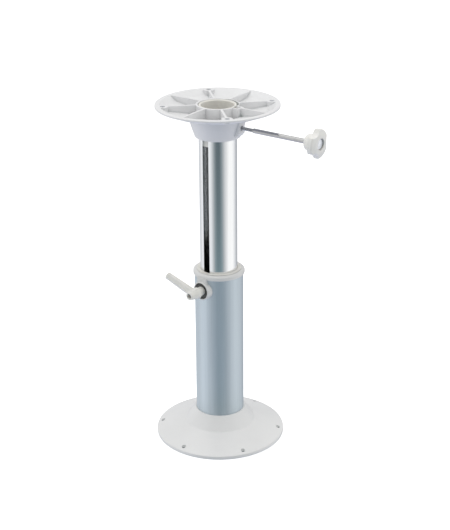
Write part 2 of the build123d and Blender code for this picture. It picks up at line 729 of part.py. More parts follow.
# Swivel bush: a nylon cap pressed over the tube's top end.  The head turns round its outer
# leg and rests on its web, its lip shows in the head's mouth, and its inner leg hangs in
# the tube, where it shows through the top of the slot.
bush_outer_r = HEAD_BORE_R - RUNNING_GAP
with BuildPart() as swivel_bush:
    with BuildSketch(Plane.XZ):
        with BuildLine():
            Polyline(
                (BUSH_BORE_R, BUSH_INNER_BOTTOM),
                (COLUMN_BORE_R, BUSH_INNER_BOTTOM),
                (COLUMN_BORE_R, COLUMN_TOP),
                (COLUMN_R, COLUMN_TOP),
                (COLUMN_R, BUSH_OUTER_BOTTOM),
                (bush_outer_r, BUSH_OUTER_BOTTOM),
                (bush_outer_r, BUSH_WEB_TOP),
                (BUSH_LIP_R, BUSH_WEB_TOP),
                (BUSH_LIP_R, BUSH_TOP - BUSH_LIP_CHAMFER),
                (BUSH_LIP_R - BUSH_LIP_CHAMFER, BUSH_TOP),
                (BUSH_BORE_R + BUSH_MOUTH_CHAMFER, BUSH_TOP),
                (BUSH_BORE_R, BUSH_TOP - BUSH_MOUTH_CHAMFER),
                close=True,
            )
        make_face()
    revolve(axis=Axis.Z)
swivel_bush.part.label = "swivel_bush"
export_step(swivel_bush.part, "parts/swivel_bush.step")

# ---------------------------------------------------------------- head

# Head plate: a dished disc on a conical bell.  Eight ribs stand flush with the top between
# the hub ring and the rim, four of them end in bolt bosses, and a lug carries the lock rod.
underside = [(radius, HEAD_TOP - depth) for radius, depth in UNDERSIDE_POINTS]
dish = [(radius, HEAD_TOP - depth) for radius, depth in reversed(DISH_POINTS)]
rib_root = [(radius, HEAD_TOP - depth) for radius, depth in RIB_ROOT_POINTS]
pocket_end_s = POCKET_S + POCKET_T
pocket_half_w = NUT_W / 2 + POCKET_GAP
with BuildPart() as head_plate:
    with BuildSketch(Plane.XZ):
        with BuildLine():
            FilletPolyline(
                (DISH_R, HEAD_TOP),
                (PLATE_R, HEAD_TOP),
                (PLATE_R, HEAD_TOP - PLATE_EDGE_T),
                *underside,
                (BELL_WAIST_R, BELL_WAIST_Z),
                (BELL_FOOT_R, BELL_BOTTOM),
                (HEAD_BORE_R, BELL_BOTTOM),
                (HEAD_BORE_R, MOUTH_LEDGE_Z),
                (MOUTH_R, MOUTH_LEDGE_Z),
                (MOUTH_R, HEAD_TOP - MOUTH_EDGE),
                (MOUTH_R + MOUTH_EDGE, HEAD_TOP),
                (HUB_RING_R, HEAD_TOP),
                (HUB_RING_R + 1, BELL_FLOOR_Z),
                (BELL_FLOOR_R, BELL_FLOOR_Z),
                (BELL_INSIDE_R, BELL_INSIDE_Z),
                *dish,
                radius=[0.5, 1, 1, 6, 12, 12, 4, 30, 1, 0, 0, 0, 0, 0, 0.7, 1, 1.5, 10, 5, 12, 12],
                close=True,
            )
        make_face()
    revolve(axis=Axis.Z)
    for index in range(RIB_COUNT):
        with BuildSketch(section_plane(RIB_START + index * 360 / RIB_COUNT)):
            with BuildLine():
                Polyline(
                    (HUB_RING_R - 1, HEAD_TOP),
                    (DISH_R + 1, HEAD_TOP),
                    *rib_root,
                    (BELL_INSIDE_R + 0.8, BELL_INSIDE_Z),
                    (BELL_FLOOR_R + 1, BELL_FLOOR_Z - 1),
                    (HUB_RING_R - 1, BELL_FLOOR_Z - 1),
                    close=True,
                )
            make_face()
        extrude(amount=RIB_T / 2, both=True)
    # Bolt bosses, trimmed to follow the plate's underside
    with PolarLocations(HEAD_BOLT_CIRCLE_R, HEAD_BOLT_COUNT, start_angle=RIB_START):
        with Locations((0, 0, HEAD_TOP)):
            Cylinder(HEAD_BOSS_R, HEAD_BOSS_H, align=(Align.CENTER, Align.CENTER, Align.MAX))
    with BuildSketch(Plane.XZ):
        with BuildLine():
            Polyline(
                (BOSS_TRIM_R, HEAD_TOP - BOSS_TRIM_DROP),
                (underside[1][0], underside[1][1] - BOSS_TRIM_GAP),
                (underside[0][0], underside[0][1] - BOSS_TRIM_GAP),
                (PLATE_R + OVERCUT, HEAD_TOP - PLATE_EDGE_T - BOSS_TRIM_GAP),
                (PLATE_R + OVERCUT, HEAD_TOP - BOSS_TRIM_DROP),
                close=True,
            )
        make_face()
    revolve(axis=Axis.Z, mode=Mode.SUBTRACT)
    # Lug for the rod, its walls round the nut pocket, then the pocket and the rod's hole
    with BuildSketch(section_plane(LOCK_AZIMUTH)):
        with BuildLine():
            Polyline(
                (HEAD_BORE_R + 1, LUG_TOP),
                (LUG_S, LUG_TOP),
                (LUG_S, LUG_BOTTOM + LUG_SLOPE_H),
                (LUG_S - LUG_SLOPE_W, LUG_BOTTOM),
                (HEAD_BORE_R + 1, LUG_BOTTOM),
                close=True,
            )
        make_face()
    extrude(amount=LUG_W / 2, both=True)
    with BuildSketch(section_plane(LOCK_AZIMUTH)):
        with Locations((HUB_RING_R - 1, HEAD_TOP)):
            Rectangle(
                pocket_end_s + POCKET_WALL - HUB_RING_R + 1,
                POCKET_WALL_H,
                align=(Align.MIN, Align.MAX),
            )
    extrude(amount=NUT_W / 2 + POCKET_WALL, both=True)
    with BuildSketch(section_plane(LOCK_AZIMUTH)):
        with BuildLine():
            Polyline(
                (MOUTH_R - 3, HEAD_TOP + OVERCUT),
                (MOUTH_R - 3, HEAD_TOP - POCKET_NOTCH_H),
                (POCKET_S, HEAD_TOP - POCKET_NOTCH_H),
                (POCKET_S, NUT_BOTTOM - POCKET_GAP),
                (pocket_end_s, NUT_BOTTOM - POCKET_GAP),
                (pocket_end_s, HEAD_TOP + OVERCUT),
                close=True,
            )
        make_face()
    extrude(amount=pocket_half_w, both=True, mode=Mode.SUBTRACT)
    with BuildSketch(section_plane(LOCK_AZIMUTH, LOCK_Z)):
        with BuildLine():
            Polyline(
                (HEAD_BORE_R - OVERCUT, 0),
                (HEAD_BORE_R - OVERCUT, PAD_R + PAD_GAP),
                (POCKET_S + 1, PAD_R + PAD_GAP),
                (POCKET_S + 1, LUG_BORE_R),
                (LUG_S + OVERCUT, LUG_BORE_R),
                (LUG_S + OVERCUT, 0),
                close=True,
            )
        make_face()
    revolve(axis=LOCK_AXIS, mode=Mode.SUBTRACT)
    # Relief at one side of the mouth, the bolt holes and the groove for the clip
    with BuildSketch(Plane.XY.offset(MOUTH_LEDGE_Z)):
        with PolarLocations(MOUTH_RELIEF_SHIFT, 1, start_angle=MOUTH_RELIEF_AZIMUTH):
            Circle(MOUTH_R)
    extrude(amount=HEAD_TOP - MOUTH_LEDGE_Z + 1, mode=Mode.SUBTRACT)
    with PolarLocations(HEAD_BOLT_CIRCLE_R, HEAD_BOLT_COUNT, start_angle=RIB_START):
        with Locations((0, 0, HEAD_TOP)):
            Cylinder(HEAD_BOLT_R, 4 * HEAD_BOSS_H, mode=Mode.SUBTRACT)
    with BuildSketch(Plane.XY.offset(CLIP_Z)):
        Circle(CLIP_GROOVE_R)
    extrude(amount=CLIP_T, mode=Mode.SUBTRACT)
head_plate.part.label = "head_plate"
export_step(head_plate.part, "parts/head_plate.step")

# Retaining clip: a spring ring in the bell's bore, under the bush's outer leg, that keeps
# the head on the column.
with BuildPart() as retaining_clip:
    with BuildSketch(Plane.XY.offset(CLIP_Z)):
        Circle(CLIP_GROOVE_R)
        Circle(CLIP_BORE_R, mode=Mode.SUBTRACT)
        with Locations((0, CLIP_GROOVE_R)):
            Rectangle(CLIP_GAP_W, CLIP_GROOVE_R, mode=Mode.SUBTRACT)
    extrude(amount=CLIP_T)
retaining_clip.part.label = "retaining_clip"
export_step(retaining_clip.part, "parts/retaining_clip.step")

# ---------------------------------------------------------------- swivel lock

# Lock nut: a tall black bar nut dropped into the head's pocket.
with BuildPart() as lock_nut:
    with BuildSketch(facing_plane(LOCK_AZIMUTH, LOCK_Z, POCKET_S + POCKET_GAP)):
        with Locations((0, NUT_BOTTOM - LOCK_Z)):
            Rectangle(NUT_W, NUT_TOP - NUT_BOTTOM, align=(Align.CENTER, Align.MIN))
        Circle(THREAD_R + RUNNING_GAP / 2, mode=Mode.SUBTRACT)
    extrude(amount=NUT_T)
    chamfer(faces().sort_by(LOCK_AXIS)[-1].outer_wire().edges(), 0.5)
lock_nut.part.label = "lock_nut"
export_step(lock_nut.part, "parts/lock_nut.step")

# Lock pad: a small nylon plug that the rod's tip presses on the bush, hollowed to fit it.
with BuildPart() as lock_pad:
    with BuildSketch(facing_plane(LOCK_AZIMUTH, LOCK_Z, HEAD_BORE_R - 2)):
        Circle(PAD_R)
    extrude(amount=PAD_T + 2)
    with Locations((0, 0, LOCK_Z)):
        Cylinder(HEAD_BORE_R, 4 * PAD_R, mode=Mode.SUBTRACT)
lock_pad.part.label = "lock_pad"
export_step(lock_pad.part, "parts/lock_pad.step")

# Lock rod: a polished bar, turned down and threaded at the head end.
thread_turns = int((THREAD_END_S - ROD_TIP_S - 2) / THREAD_PITCH)
thread_start_s = THREAD_END_S - 1 - thread_turns * THREAD_PITCH
rod_outline = [(ROD_TIP_S, 0), (ROD_TIP_S, ROD_TIP_R), (thread_start_s, THREAD_R - THREAD_DEPTH)]
for turn in range(thread_turns):
    root_s = thread_start_s + turn * THREAD_PITCH
    rod_outline.append((root_s + THREAD_PITCH / 2, THREAD_R))
    rod_outline.append((root_s + THREAD_PITCH, THREAD_R - THREAD_DEPTH))
rod_outline += [
    (THREAD_END_S, THREAD_R - THREAD_DEPTH),
    (THREAD_END_S, ROD_R - 0.4),
    (THREAD_END_S + 0.4, ROD_R),
    (ROD_END_S, ROD_R),
    (ROD_END_S, 0),
]
with BuildPart() as lock_rod:
    with BuildSketch(section_plane(LOCK_AZIMUTH, LOCK_Z)):
        with BuildLine():
            Polyline(*rod_outline, close=True)
        make_face()
    revolve(axis=LOCK_AXIS)
lock_rod.part.label = "lock_rod"
export_step(lock_rod.part, "parts/lock_rod.step")

# Knob insert: the brass core moulded into the knob and fixed on the rod's end.
with BuildPart() as knob_insert:
    with BuildSketch(facing_plane(LOCK_AZIMUTH, LOCK_Z, INSERT_START_S)):
        RegularPolygon(INSERT_R, 6)
    extrude(amount=INSERT_END_S - INSERT_START_S)
    with BuildSketch(facing_plane(LOCK_AZIMUTH, LOCK_Z, INSERT_START_S)):
        Circle(ROD_R)
    extrude(amount=ROD_END_S - INSERT_START_S, mode=Mode.SUBTRACT)
knob_insert.part.label = "knob_insert"
export_step(knob_insert.part, "parts/knob_insert.step")

# Lock knob: a stepped neck that opens into a three-lobed grip with a domed face.
with BuildPart() as lock_knob:
    with BuildSketch(section_plane(LOCK_AZIMUTH, LOCK_Z)):
        with BuildLine():
            FilletPolyline(
                (KNOB_START_S, 0),
                (KNOB_START_S, KNOB_NOSE_R),
                (KNOB_START_S + 2.5, KNOB_NECK_R),
                (KNOB_GRIP_S - 1.5, KNOB_NECK_END_R),
                (KNOB_GRIP_S, KNOB_R),
                (KNOB_EDGE_S, KNOB_R),
                (KNOB_FACE_S, KNOB_DOME_R),
                (KNOB_FACE_S, 0),
                radius=[0, 1.5, 1.5, 1.4, 1.4, 1.4, 12, 0],
                close=True,
            )
        make_face()
    revolve(axis=LOCK_AXIS)
    with BuildSketch(facing_plane(LOCK_AZIMUTH, LOCK_Z, KNOB_GRIP_S - OVERCUT)):
        with PolarLocations(SCALLOP_CENTRE, LOBE_COUNT, start_angle=LOBE_START):
            Circle(SCALLOP_R)
    extrude(amount=KNOB_R, mode=Mode.SUBTRACT)
    with BuildSketch(section_plane(LOCK_AZIMUTH, LOCK_Z)):
        with BuildLine():
            Polyline(
                (KNOB_START_S - OVERCUT, 0),
                (KNOB_START_S - OVERCUT, ROD_R),
                (INSERT_START_S + 0.5, ROD_R),
                (INSERT_START_S + 0.5, 0),
                close=True,
            )
        make_face()
    revolve(axis=LOCK_AXIS, mode=Mode.SUBTRACT)
    with BuildSketch(facing_plane(LOCK_AZIMUTH, LOCK_Z, INSERT_START_S)):
        RegularPolygon(INSERT_R, 6)
    extrude(amount=INSERT_END_S - INSERT_START_S, mode=Mode.SUBTRACT)
    with BuildSketch(facing_plane(LOCK_AZIMUTH, LOCK_Z, CAP_POCKET_S)):
        Circle(CAP_POCKET_R)
    extrude(amount=KNOB_R, mode=Mode.SUBTRACT)
    with BuildSketch(facing_plane(LOCK_AZIMUTH, LOCK_Z, INSERT_END_S)):
        Circle(CAP_STEM_R)
    extrude(amount=KNOB_R, mode=Mode.SUBTRACT)
lock_knob.part.label = "lock_knob"
export_step(lock_knob.part, "parts/lock_knob.step")

# Knob cap: a domed metal disc on a short stem that closes the knob's face.
with BuildPart() as knob_cap:
    with BuildSketch(section_plane(LOCK_AZIMUTH, LOCK_Z)):
        with BuildLine():
            Polyline(
                (CAP_TOP_S, 0),
                (CAP_STEM_S, 0),
                (CAP_STEM_S, CAP_STEM_R),
                (CAP_POCKET_S, CAP_STEM_R),
                (CAP_POCKET_S, CAP_R),
                (CAP_EDGE_S, CAP_R),
            )
            TangentArc((CAP_TOP_S, 0), (CAP_EDGE_S, CAP_R), tangent=(0, 1))
        make_face()
    revolve(axis=LOCK_AXIS)
knob_cap.part.label = "knob_cap"
export_step(knob_cap.part, "parts/knob_cap.step")
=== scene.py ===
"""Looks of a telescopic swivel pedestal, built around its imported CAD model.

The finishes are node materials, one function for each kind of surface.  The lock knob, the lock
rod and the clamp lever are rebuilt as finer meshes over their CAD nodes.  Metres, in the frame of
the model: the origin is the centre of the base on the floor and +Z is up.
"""

from math import cos, pi, radians, sin, sqrt, tan

import bmesh
import bpy
from mathutils import Matrix, Vector
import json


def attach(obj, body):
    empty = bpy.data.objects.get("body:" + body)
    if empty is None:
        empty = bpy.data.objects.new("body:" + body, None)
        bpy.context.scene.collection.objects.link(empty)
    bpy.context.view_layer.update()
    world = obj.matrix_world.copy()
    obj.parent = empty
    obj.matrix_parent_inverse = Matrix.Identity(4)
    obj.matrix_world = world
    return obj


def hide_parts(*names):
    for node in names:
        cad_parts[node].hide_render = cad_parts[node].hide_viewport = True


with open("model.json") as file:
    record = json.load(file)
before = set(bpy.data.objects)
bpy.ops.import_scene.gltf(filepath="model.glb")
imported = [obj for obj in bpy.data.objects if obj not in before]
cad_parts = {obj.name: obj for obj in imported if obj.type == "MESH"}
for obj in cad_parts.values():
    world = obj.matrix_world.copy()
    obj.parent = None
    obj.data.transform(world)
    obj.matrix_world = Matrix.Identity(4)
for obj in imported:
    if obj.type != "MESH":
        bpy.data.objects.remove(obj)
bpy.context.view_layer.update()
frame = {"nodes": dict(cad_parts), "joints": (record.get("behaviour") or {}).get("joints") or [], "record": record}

MM = 0.001
JOINTS = {joint["name"]: joint for joint in frame["joints"]}

# ---------------------------------------------------------------- camera

AIM = Vector((0, 0, 0.3230))
CAMERA_DISTANCE = 2.3016
CAMERA_PITCH = radians(22.6)
CAMERA_ROLL = -0.00878
LENS = 89.70
SHIFT_X = 0.01142


def make_camera():
    """The camera at the viewing angle of the picture, aimed at the pedestal's axis."""
    camera = bpy.data.objects.new("camera", bpy.data.cameras.new("camera"))
    bpy.context.scene.collection.objects.link(camera)
    camera.data.lens = LENS
    camera.data.shift_x = SHIFT_X
    camera.data.clip_end = 100
    back = Vector((0, -cos(CAMERA_PITCH), sin(CAMERA_PITCH)))
    turn = Matrix.Rotation(pi / 2 - CAMERA_PITCH, 4, "X") @ Matrix.Rotation(CAMERA_ROLL, 4, "Z")
    camera.matrix_world = Matrix.Translation(AIM + back * CAMERA_DISTANCE) @ turn
    bpy.context.scene.camera = camera


# ---------------------------------------------------------------- node helpers


def add(tree, kind, inputs=None, **settings):
    """A new node.  An input is linked where its value is a socket, and set where it isn't."""
    node = tree.nodes.new(kind)
    for name, value in settings.items():
        setattr(node, name, value)
    for name, value in (inputs or {}).items():
        if isinstance(value, bpy.types.NodeSocket):
            tree.links.new(value, node.inputs[name])
        else:
            node.inputs[name].default_value = value
    return node


def noise(tree, place, scale, detail, stretch=(1, 1, 1)):
    """A noise value at place, whose grain is stretched by making one of its scales smaller."""
    mapping = add(tree, "ShaderNodeMapping", {"Vector": place, "Scale": stretch})
    inputs = {"Vector": mapping.outputs["Vector"], "Scale": scale, "Detail": detail}
    return add(tree, "ShaderNodeTexNoise", inputs).outputs["Fac"]


def ramp(tree, value, low, high, to_low=0.0, to_high=1.0):
    """value carried from the span low..high to the span to_low..to_high, held at its ends."""
    inputs = {0: value, 1: low, 2: high, 3: to_low, 4: to_high}
    return add(tree, "ShaderNodeMapRange", inputs, interpolation_type="SMOOTHSTEP").outputs[0]


def blend(tree, factor, colour_a, colour_b):
    """colour_a where factor is 0 and colour_b where it is 1."""
    inputs = {0: factor, 6: colour_a, 7: colour_b}
    return add(tree, "ShaderNodeMix", inputs, data_type="RGBA").outputs[2]


def edge_mask(tree, radius):
    """A mask that is 0 on faces and up to 1 along edges, from how far a rounded normal turns, and
    that rounded normal."""
    rounded = add(tree, "ShaderNodeBevel", {"Radius": radius}, samples=6)
    flat = add(tree, "ShaderNodeNewGeometry")
    inputs = {0: rounded.outputs[0], 1: flat.outputs["Normal"]}
    dot = add(tree, "ShaderNodeVectorMath", inputs, operation="DOT_PRODUCT").outputs["Value"]
    return ramp(tree, dot, 0.99, 0.80), rounded.outputs[0]


def bump(tree, height, depth, normal):
    """normal, tilted to follow height, depth metres from its lowest to its highest."""
    inputs = {"Height": height, "Distance": depth, "Normal": normal}
    return add(tree, "ShaderNodeBump", inputs).outputs["Normal"]


def grey(value, tint=(1, 1, 1)):
    """A linear colour of that value, tinted."""
    return (value * tint[0], value * tint[1], value * tint[2], 1)


def start_material(name, constants):
    """A material with one Principled shader, whose plain sockets are set from constants."""
    material = bpy.data.materials.new(name)
    material.use_nodes = True
    tree = material.node_tree
    shader = tree.nodes["Principled BSDF"]
    for socket, value in constants.items():
        shader.inputs[socket].default_value = value
    place = add(tree, "ShaderNodeTexCoord").outputs["Object"]
    return material, tree, shader, place


def connect(tree, shader, **sockets):
    """Links node outputs to the shader's sockets, named with _ for a space."""
    for name, value in sockets.items():
        tree.links.new(value, shader.inputs[name.replace("_", " ")])


# ---------------------------------------------------------------- finishes

SCATTER_RADIUS = (1.0, 0.92, 0.80)
# Reach and tint of the shade painted into the corners of the cast paint
PAINTED_SHADE_REACH = 9 * MM
PAINTED_SHADE_TINT = (0.88, 1.0, 0.98)


def cast_paint(name, tint=(1, 1, 1)):
    """Satin stoved paint over a casting: orange peel, a fine speckle and thinner paint on edges.
    Shade is painted into its corners, darker and a little teal."""
    constants = {"Coat Weight": 0.25, "Coat Roughness": 0.12, "Specular IOR Level": 0.5}
    material, tree, shader, place = start_material(name, constants)
    edge, rounded = edge_mask(tree, 0.7 * MM)
    clouds = noise(tree, place, 14, 3)
    speckle = noise(tree, place, 1500, 1)
    peel = noise(tree, place, 420, 2)
    body = blend(tree, ramp(tree, clouds, 0.3, 0.7), grey(0.755, tint), grey(0.79, tint))
    dotted = blend(tree, ramp(tree, speckle, 0.62, 0.78, 0, 0.25), body, grey(0.66, tint))
    worn = blend(tree, ramp(tree, edge, 0, 1, 0, 0.35), dotted, grey(0.84, tint))
    # Painted shade: where ambient occlusion finds a corner or recess, the paint turns darker and teal
    inputs = {"Distance": PAINTED_SHADE_REACH}
    occlusion = add(tree, "ShaderNodeAmbientOcclusion", inputs, samples=6).outputs["AO"]
    shaded = blend(tree, ramp(tree, occlusion, 0.62, 0.22, 0, 0.75), worn, grey(0.40, PAINTED_SHADE_TINT))
    smudge = noise(tree, place, 32, 4)
    rough = ramp(tree, smudge, 0.3, 0.7, 0.30, 0.42)
    fine = bump(tree, peel, 0.035 * MM, rounded)
    connect(tree, shader, Base_Color=shaded, Roughness=rough, Normal=fine)
    return material


def anodised(name, colour, roughness, streak_depth):
    """Drawn and anodised aluminium tube: fine streaks along Z from the die, in a satin skin."""
    constants = {"Metallic": 1.0, "Anisotropic": 0.35}
    material, tree, shader, place = start_material(name, constants)
    edge, rounded = edge_mask(tree, 0.4 * MM)
    streaks = noise(tree, place, 900, 3, (1, 1, 0.006))
    bands = noise(tree, place, 90, 2, (1, 1, 0.02))
    pits = noise(tree, place, 2600, 2)
    dull = grey(0.93, colour)
    body = blend(tree, ramp(tree, bands, 0.3, 0.7), dull, grey(1.0, colour))
    lined = blend(tree, ramp(tree, streaks, 0.58, 0.75, 0, 0.35), body, grey(0.80, colour))
    worn = blend(tree, ramp(tree, edge, 0, 1, 0, 0.6), lined, grey(0.92))
    rough = ramp(tree, streaks, 0.25, 0.75, roughness - 0.04, roughness + 0.05)
    drawn = bump(tree, streaks, streak_depth, rounded)
    pitted = bump(tree, pits, 0.004 * MM, drawn)
    connect(tree, shader, Base_Color=worn, Roughness=rough, Normal=pitted)
    return material


def nylon(name, colour):
    """Turned nylon: a little waxy, with faint tool rings."""
    constants = {
        "Subsurface Weight": 0.12,
        "Subsurface Scale": 3 * MM,
        "Subsurface Radius": SCATTER_RADIUS,
        "Specular IOR Level": 0.45,
    }
    material, tree, shader, place = start_material(name, constants)
    edge, rounded = edge_mask(tree, 0.4 * MM)
    rings = noise(tree, place, 1200, 2, (0.02, 0.02, 1))
    clouds = noise(tree, place, 60, 3)
    body = blend(tree, ramp(tree, clouds, 0.3, 0.7), grey(0.94, colour), grey(1.0, colour))
    pale = blend(tree, ramp(tree, edge, 0, 1, 0, 0.4), body, grey(1.12, colour))
    rough = ramp(tree, rings, 0.3, 0.7, 0.42, 0.55)
    turned = bump(tree, rings, 0.02 * MM, rounded)
    connect(tree, shader, Base_Color=pale, Roughness=rough, Normal=turned)
    return material


def moulded_plastic(name, colour):
    """Moulded acetal: off-white, fine spark-eroded grain, a little light passing inside."""
    constants = {
        "Subsurface Weight": 0.10,
        "Subsurface Scale": 2 * MM,
        "Subsurface Radius": SCATTER_RADIUS,
        "Specular IOR Level": 0.5,
    }
    material, tree, shader, place = start_material(name, constants)
    edge, rounded = edge_mask(tree, 0.5 * MM)
    grain = noise(tree, place, 2400, 2)
    flow = noise(tree, place, 45, 3)
    body = blend(tree, ramp(tree, flow, 0.3, 0.7), grey(0.95, colour), grey(1.0, colour))
    handled = blend(tree, ramp(tree, edge, 0, 1, 0, 0.3), body, grey(1.08, colour))
    rough = ramp(tree, flow, 0.3, 0.7, 0.34, 0.45)
    grained = bump(tree, grain, 0.012 * MM, rounded)
    connect(tree, shader, Base_Color=handled, Roughness=rough, Normal=grained)
    return material


def bar_metal(name, colour, roughness, across):
    """Ground or turned bar: fine lines round the bar, across being the direction along it."""
    constants = {"Metallic": 1.0, "Anisotropic": 0.3}
    material, tree, shader, place = start_material(name, constants)
    edge, rounded = edge_mask(tree, 0.3 * MM)
    inputs = {0: place, 1: tuple(across)}
    along = add(tree, "ShaderNodeVectorMath", inputs, operation="DOT_PRODUCT").outputs["Value"]
    line_place = add(tree, "ShaderNodeCombineXYZ", {"X": along}).outputs[0]
    lines = noise(tree, line_place, 2600, 2)
    stains = noise(tree, place, 110, 3)
    body = blend(tree, ramp(tree, stains, 0.3, 0.75), grey(1.0, colour), grey(0.9, colour))
    lined = blend(tree, ramp(tree, lines, 0.55, 0.8, 0, 0.3), body, grey(0.75, colour))
    worn = blend(tree, ramp(tree, edge, 0, 1, 0, 0.5), lined, grey(0.95))
    rough = ramp(tree, lines, 0.3, 0.7, roughness - 0.03, roughness + 0.06)
    ground = bump(tree, lines, 0.003 * MM, rounded)
    connect(tree, shader, Base_Color=worn, Roughness=rough, Normal=ground)
    return material


def fine_metal(name, colour, roughness, mottle):
    """Small metal parts: plated, stamped or cast, with a mottled skin and brighter edges."""
    material, tree, shader, place = start_material(name, {"Metallic": 1.0})
    edge, rounded = edge_mask(tree, 0.3 * MM)
    spots = noise(tree, place, mottle, 4)
    body = blend(tree, ramp(tree, spots, 0.3, 0.7), grey(0.82, colour), grey(1.0, colour))
    worn = blend(tree, ramp(tree, edge, 0, 1, 0, 0.7), body, grey(0.93))
    rough = ramp(tree, spots, 0.3, 0.7, roughness, roughness + 0.12)
    rolled = bump(tree, spots, 0.01 * MM, rounded)
    connect(tree, shader, Base_Color=worn, Roughness=rough, Normal=rolled)
    return material


def floor_paper(name):
    """Pale matt paper with a faint mottle and a glow that keeps it white."""
    constants = {
        "Specular IOR Level": 0.0,
        "Roughness": 0.9,
        "Emission Color": (1, 1, 1, 1),
        "Emission Strength": FLOOR_GLOW,
    }
    material, tree, shader, place = start_material(name, constants)
    mottle = noise(tree, place, 3, 3)
    connect(tree, shader, Base_Color=blend(tree, mottle, grey(0.93), grey(0.95)))
    return material


BODIES = frame["record"]["behaviour"]["bodies"]
LOCK_OUT = Vector(JOINTS["lock_turn"]["axis"])
LOCK_ORIGIN = Vector(JOINTS["lock_turn"]["pos_m"])

FINISHES = {
    "base_paint": cast_paint("paint_base"),
    "head_paint": cast_paint("paint_head", (0.99, 0.99, 1.0)),
    "collar_paint": cast_paint("paint_collar", (0.92, 0.92, 0.91)),
    "outer_anodised": anodised("anodised_outer", (0.59, 0.66, 0.71), 0.49, 0.008 * MM),
    "inner_anodised": anodised("anodised_inner", (0.90, 0.91, 0.92), 0.17, 0.003 * MM),
    "anchor_metal": fine_metal("anchor_aluminium", (0.80, 0.81, 0.82), 0.35, 300),
    "nylon_cream": nylon("nylon_cream", (0.79, 0.775, 0.73)),
    "guide_nylon": nylon("nylon_guide", (0.72, 0.71, 0.66)),
    "lever_plastic": moulded_plastic("plastic_lever", (0.80, 0.79, 0.75)),
    "knob_plastic": moulded_plastic("plastic_knob", (0.83, 0.82, 0.79)),
    "stainless": bar_metal("stainless_bar", (0.41, 0.41, 0.41), 0.07, LOCK_OUT),
    "fastener_steel": fine_metal("steel_plated", (0.66, 0.67, 0.69), 0.28, 900),
    "shoe_metal": fine_metal("shoe_cast", (0.50, 0.50, 0.50), 0.42, 500),
    "insert_brass": fine_metal("brass_insert", (0.80, 0.60, 0.32), 0.25, 700),
    "cap_chrome": fine_metal("chrome_cap", (0.74, 0.76, 0.80), 0.08, 120),
    # Painted shade in part: black oxide, and the black stands in for the lock pocket's deep shade
    "black_oxide": fine_metal("steel_black_and_shade", (0.035, 0.035, 0.037), 0.35, 900),
    # Painted shade in part: black nylon whose black stands in for the shade by the lever's neck
    "black_nylon": nylon("nylon_black_and_shade", (0.070, 0.070, 0.066)),
}


def paint_cad_nodes():
    """Gives each CAD node the finish of its own material slot."""
    for subpart in frame["record"]["subparts"]:
        cad = frame["nodes"][subpart["node"]]
        cad.data.materials.clear()
        cad.data.materials.append(FINISHES[subpart["material_slot"]])


# ---------------------------------------------------------------- finer pieces


def finish_piece(piece, node):
    """Puts a finer piece in the place of its CAD node, on the same body and in the same finish."""
    for polygon in piece.data.polygons:
        polygon.use_smooth = True
    parts = frame["record"]["subparts"]
    slot = next(part["material_slot"] for part in parts if part["node"] == node)
    piece.data.materials.clear()
    piece.data.materials.append(FINISHES[slot])
    body = next(name for name, members in BODIES.items() if node in members)
    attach(piece, body)
    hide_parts(node)


NEARLY_STRAIGHT = 1.5


def rounded_outline(points, radii, step):
    """A closed outline through points, in steps of about that size, whose corners are rounded."""
    ends = []
    count = len(points)
    for index, (point, radius) in enumerate(zip(points, radii)):
        corner = Vector(point)
        back = (Vector(points[index - 1]) - corner).normalized()
        on = (Vector(points[(index + 1) % count]) - corner).normalized()
        half = back.angle(on) / 2
        if radius == 0 or half > NEARLY_STRAIGHT:
            ends.append([corner])
            continue
        reach = radius / tan(half)
        centre = corner + (back + on).normalized() * (radius / sin(half))
        arm = corner + back * reach - centre
        sweep = pi - 2 * half
        sweep = sweep if back.x * on.y - back.y * on.x < 0 else -sweep
        pieces = max(3, int(radius * abs(sweep) / step))
        turns = [Matrix.Rotation(sweep * index / pieces, 2) for index in range(pieces + 1)]
        ends.append([centre + turn @ arm for turn in turns])
    outline = []
    for index, arc in enumerate(ends):
        outline += arc
        gap = ends[(index + 1) % count][0] - arc[-1]
        pieces = max(1, int(gap.length / step))
        outline += [arc[-1] + gap * (turn / pieces) for turn in range(1, pieces)]
    return outline


def turned_mesh(name, rows, segments, shape, origin, out):
    """A mesh turned round the axis that leaves origin towards out.  rows are (distance, radius)
    points of a closed outline, and shape(distance, radius, angle) gives each point's own radius."""
    side = Vector((-out.y, out.x, 0))
    up = Vector((0, 0, 1))
    points = []
    for distance, radius in rows:
        for segment in range(segments):
            angle = 2 * pi * segment / segments
            arm = side * cos(angle) + up * sin(angle)
            points.append(origin + out * distance + arm * shape(distance, radius, angle))
    faces = []
    for row in range(len(rows)):
        this_row = row * segments
        next_row = (row + 1) % len(rows) * segments
        for segment in range(segments):
            following = (segment + 1) % segments
            near_side = (this_row + segment, this_row + following)
            faces.append((*near_side, next_row + following, next_row + segment))
    mesh = bpy.data.meshes.new(name)
    mesh.from_pydata(points, [], faces)
    piece = bpy.data.objects.new(name, mesh)
    bpy.context.scene.collection.objects.link(piece)
    return piece


KNOB_SEGMENTS = 240
KNOB_STEP = 0.55 * MM
SCALLOP_CENTRE = 33.5 * MM
SCALLOP_R = 16.0 * MM
SCALLOP_START = radians(-2)
SCALLOP_EDGE = 1.6 * MM
LOBE = 2 * pi / 3
# Outline of the knob in mm, as (distance out, radius, rounding): outside, cap pocket, bore
KNOB_OUTLINE = (
    (178.5, 4.05, 0.0),
    (178.5, 12.2, 1.5),
    (181.0, 13.5, 1.5),
    (190.5, 14.6, 1.4),
    (192.0, 24.4, 2.2),
    (201.2, 24.4, 2.0),
    (204.4, 15.0, 12.0),
    (204.4, 9.75, 0.5),
    (200.4, 9.75, 0.3),
    (200.4, 3.05, 0.0),
    (195.1, 3.05, 0.0),
    (195.1, 6.3, 0.0),
    (182.4, 6.3, 0.0),
    (182.4, 4.05, 0.0),
)


